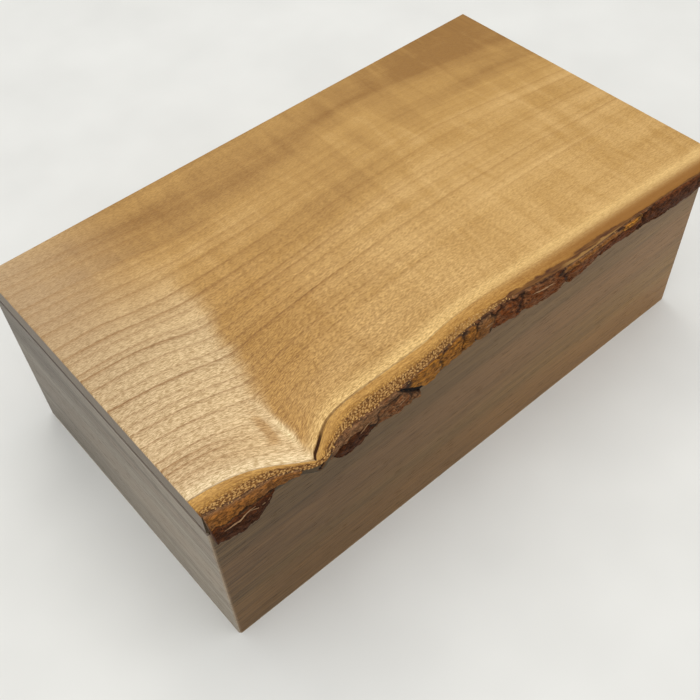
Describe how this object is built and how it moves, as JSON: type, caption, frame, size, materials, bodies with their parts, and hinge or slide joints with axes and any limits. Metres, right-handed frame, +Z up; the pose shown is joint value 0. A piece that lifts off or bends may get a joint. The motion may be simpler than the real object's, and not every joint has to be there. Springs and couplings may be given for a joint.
{
  "type": "wooden puzzle box",
  "caption": "Mitred walnut box with a live-edge cherry lid that lifts off when spinning the box frees its hidden lock pins.",
  "frame": {"origin": "middle of the base, on the underside of the bottom panel", "axes": "+X along the length to the right, +Y from the live-edge front to the back, +Z up through the lid"},
  "size_m": [0.24, 0.1428, 0.0824],
  "materials": {
    "walnut": "satin oil",
    "cherry": "satin oil",
    "bark": "raw bark under thin oil",
    "maple": "planed and waxed",
    "brass": "turned"
  },
  "bodies": {
    "carcass": {"wall_front": "walnut", "wall_back": "walnut", "wall_left": "walnut", "wall_right": "walnut", "bottom_panel": "walnut", "corner_spline_front_left": "walnut", "corner_spline_front_right": "walnut", "corner_spline_back_left": "walnut", "corner_spline_back_right": "walnut", "lock_bar": "maple", "bore_plug_front": "maple", "bore_plug_back": "maple"},
    "lid": {"lid_board": "cherry", "bark_left": "bark", "bark_middle": "bark", "bark_right": "bark", "keeper": "maple", "keeper_screws": "brass", "batten_left": "cherry", "batten_right": "cherry", "batten_screws": "brass"},
    "front_pin": {"lock_pin_front": "brass"},
    "back_pin": {"lock_pin_back": "brass"}
  },
  "joints": [
    {"name": "lid_lift", "type": "slide", "parent": "carcass", "child": "lid", "axis": [0, 0, 1], "range_m": [0, 0.085]},
    {"name": "front_pin_slide", "type": "slide", "parent": "carcass", "child": "front_pin", "axis": [0, 1, 0], "range_m": [0, 0.0063]},
    {"name": "back_pin_slide", "type": "slide", "parent": "carcass", "child": "back_pin", "axis": [0, -1, 0], "range_m": [0, 0.0063]}
  ]
}
